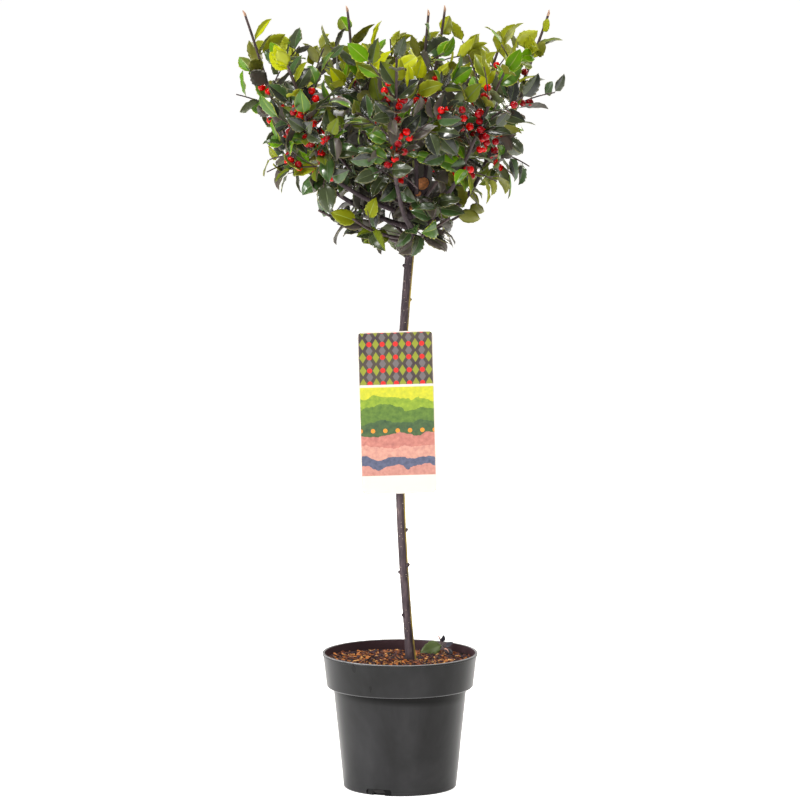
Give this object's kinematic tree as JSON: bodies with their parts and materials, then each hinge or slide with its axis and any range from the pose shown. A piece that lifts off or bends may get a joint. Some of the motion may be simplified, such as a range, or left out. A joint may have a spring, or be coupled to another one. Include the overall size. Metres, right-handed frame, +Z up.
{
  "type": "potted standard holly tree",
  "caption": "Young holly grown as a standard: a slim bare stem, an open flat-topped head of spiny leaves with red berries, a patterned hang label, and a tapered plastic pot.",
  "frame": {"origin": "centre of the pot's flat underside, which is also ground level", "axes": "+Z up along the stem, -Y towards the label's face, +X to the right of someone who faces the label"},
  "size_m": [0.3935, 0.4106, 0.9502],
  "materials": {
    "pot": "satin charcoal-grey moulded plastic, a little scuffed",
    "potting_mix": "rough moist bark and coir chips, orange-brown to dark brown",
    "bark": "smooth dark grey-brown bark with small pale lenticels",
    "foliage": "glossy leathery leaves, dark green to lime with thin pale edges, dark young twigs and glossy red berries",
    "label": "smooth coated card with a plain printed design"
  },
  "bodies": {
    "root": {"pot": "pot", "potting_mix": "potting_mix", "trunk": "bark", "hang_label": "label", "outer_bough_1": "bark", "outer_bough_2": "bark", "outer_bough_3": "bark", "outer_bough_4": "bark", "outer_bough_5": "bark", "outer_bough_6": "bark", "outer_bough_7": "bark", "outer_bough_8": "bark", "inner_bough_1": "bark", "inner_bough_2": "bark", "inner_bough_3": "bark", "inner_bough_4": "bark", "inner_bough_5": "bark", "outer_foliage_1": "foliage", "outer_foliage_2": "foliage", "outer_foliage_3": "foliage", "outer_foliage_4": "foliage", "outer_foliage_5": "foliage", "outer_foliage_6": "foliage", "outer_foliage_7": "foliage", "outer_foliage_8": "foliage", "inner_foliage_1": "foliage", "inner_foliage_2": "foliage", "inner_foliage_3": "foliage", "inner_foliage_4": "foliage", "inner_foliage_5": "foliage", "middle_foliage_1": "foliage", "middle_foliage_2": "foliage", "middle_foliage_3": "foliage", "middle_foliage_4": "foliage", "middle_foliage_5": "foliage", "low_foliage_1": "foliage", "low_foliage_2": "foliage", "low_foliage_3": "foliage", "low_foliage_4": "foliage", "low_foliage_5": "foliage"}
  },
  "joints": []
}
